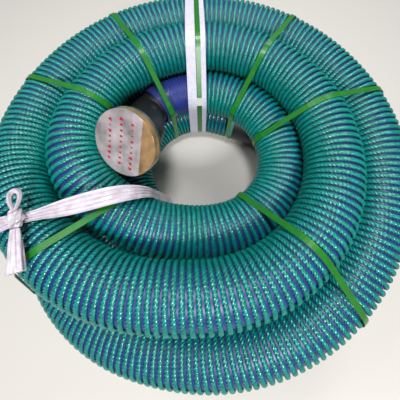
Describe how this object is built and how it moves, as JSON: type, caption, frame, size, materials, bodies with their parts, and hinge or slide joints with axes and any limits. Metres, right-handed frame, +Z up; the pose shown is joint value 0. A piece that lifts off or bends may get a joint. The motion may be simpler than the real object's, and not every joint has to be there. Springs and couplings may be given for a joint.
{
  "type": "rope-wrapped suction hose, coiled",
  "caption": "Coiled PVC vacuum suction hose wound with protective rope, with a wrapped end coupling, strapped and tied in a bundle.",
  "frame": {"origin": "on the floor under the middle of the whole bundle", "axes": "+Z up along the coil axis; -Y is the near side of the coil, +X its right"},
  "size_m": [0.961, 0.9311, 0.3735],
  "materials": {
    "liner_pvc": "smooth soft PVC",
    "helix_pvc": "hard PVC",
    "blue_pvc": "soft glossy blue PVC",
    "green_rope": "three-strand twisted polyethylene rope, slightly shiny",
    "rope_thread": "bound rope end",
    "black_rubber": "matt black rubber",
    "stub_plastic": "moulded",
    "gasket_rubber": "flat",
    "flange_steel": "plain steel",
    "mouth_film": "thin translucent film",
    "brown_tape": "glossy packing tape",
    "clear_blue_tape": "smooth tape",
    "cuff_pvc": "moulded PVC",
    "green_strap": "embossed PET strapping",
    "seal_steel": "crimped",
    "white_ribbon": "soft woven ribbon",
    "white_film": "creased stretch film"
  },
  "bodies": {
    "hose": {"bare_cover": "blue_pvc", "coupling_gasket": "gasket_rubber", "coupling_stub": "stub_plastic", "end_sleeve": "black_rubber", "end_wrap": "clear_blue_tape", "film_tie": "white_film", "film_tie_knot": "white_film", "film_tie_loop": "white_film", "inner_liner": "liner_pvc", "open_cuff": "cuff_pvc", "outer_cover": "blue_pvc", "rigid_helix": "helix_pvc", "rope_turn_1": "green_rope", "rope_turn_2": "green_rope", "rope_turn_3": "green_rope", "rope_turn_4": "green_rope", "rope_turn_5": "green_rope", "rope_turn_6": "green_rope", "rope_whipping_head": "rope_thread", "rope_whipping_tail": "rope_thread", "strap_1": "green_strap", "strap_2": "green_strap", "strap_3": "green_strap", "strap_4": "green_strap", "strap_5": "green_strap", "strap_6": "green_strap", "strap_7": "green_strap", "strap_seals": "seal_steel", "white_ribbon": "white_ribbon"},
    "coupling": {"loose_flange": "flange_steel", "mouth_film": "mouth_film", "rim_tape": "brown_tape"},
    "tie_tail": {"film_tie_tail": "white_film"}
  },
  "joints": [
    {"name": "flange_swivel", "type": "hinge", "parent": "hose", "child": "coupling", "pos_m": [-0.13892, -0.02496, 0.32259], "axis": [-0.3595, -0.6292, 0.6891], "continuous": true},
    {"name": "tie_tail_swing", "type": "hinge", "parent": "hose", "child": "tie_tail", "pos_m": [-0.29345, -0.16711, 0.34555], "axis": [-0.9279, -0.2837, 0.2419], "range_deg": [0, 45]}
  ]
}
